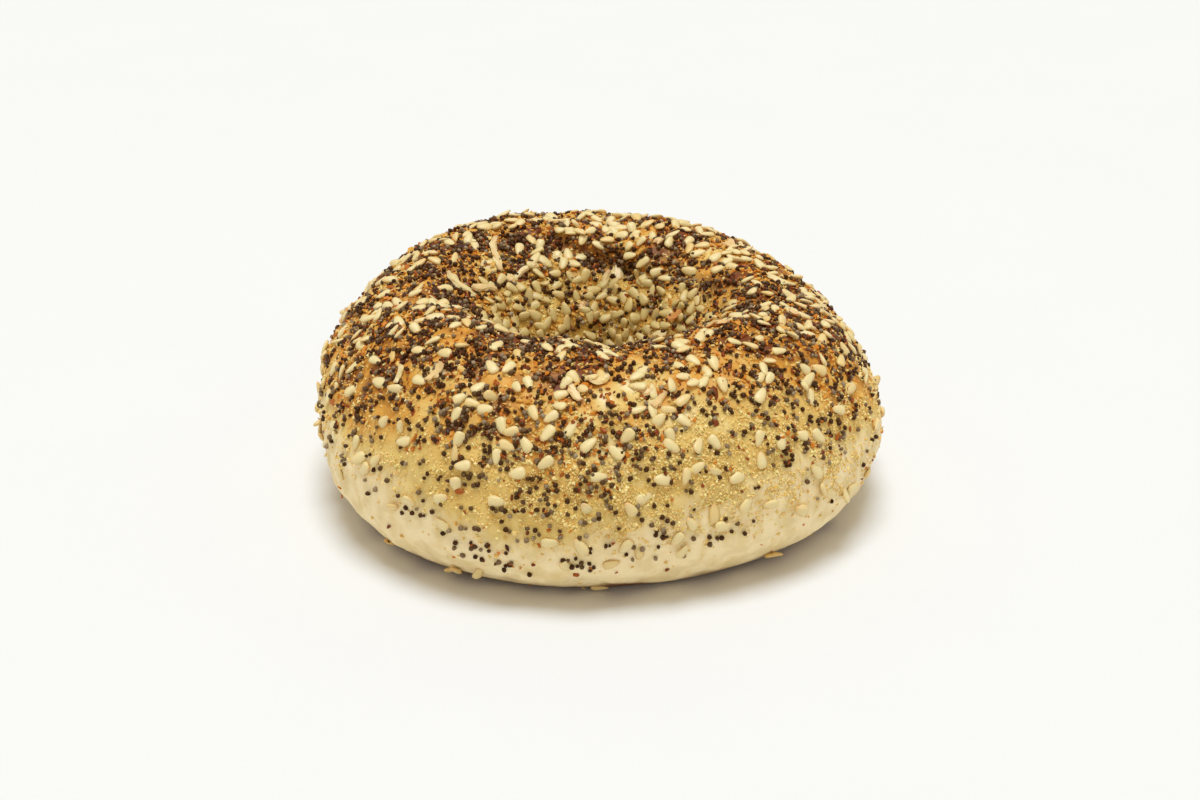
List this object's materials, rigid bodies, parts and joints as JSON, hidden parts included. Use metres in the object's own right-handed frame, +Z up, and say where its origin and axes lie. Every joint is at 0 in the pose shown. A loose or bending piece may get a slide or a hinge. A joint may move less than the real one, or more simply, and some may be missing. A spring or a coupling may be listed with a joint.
{
  "type": "everything bagel",
  "caption": "Round baked bread ring with a flat base, a wide hollow round its hole, and a crust covered in sesame, poppy and toasted onion.",
  "frame": {"origin": "middle of the bagel's outline seen from above, on the surface it rests on", "axes": "+Z up through the hole, +X to the right and -Y towards the viewer of the reference view"},
  "size_m": [0.1054, 0.1068, 0.0411],
  "materials": {
    "crust": "baked bread crust, satin, toasted brown on top and pale cream low on the side",
    "sesame": "hulled sesame seed, cream, slightly glossy",
    "poppy": "poppy seed, slate grey to black, dull",
    "onion": "dried onion and garlic, pale to toasted red-brown, dry"
  },
  "bodies": {
    "root": {"bagel": "crust"}
  },
  "joints": []
}
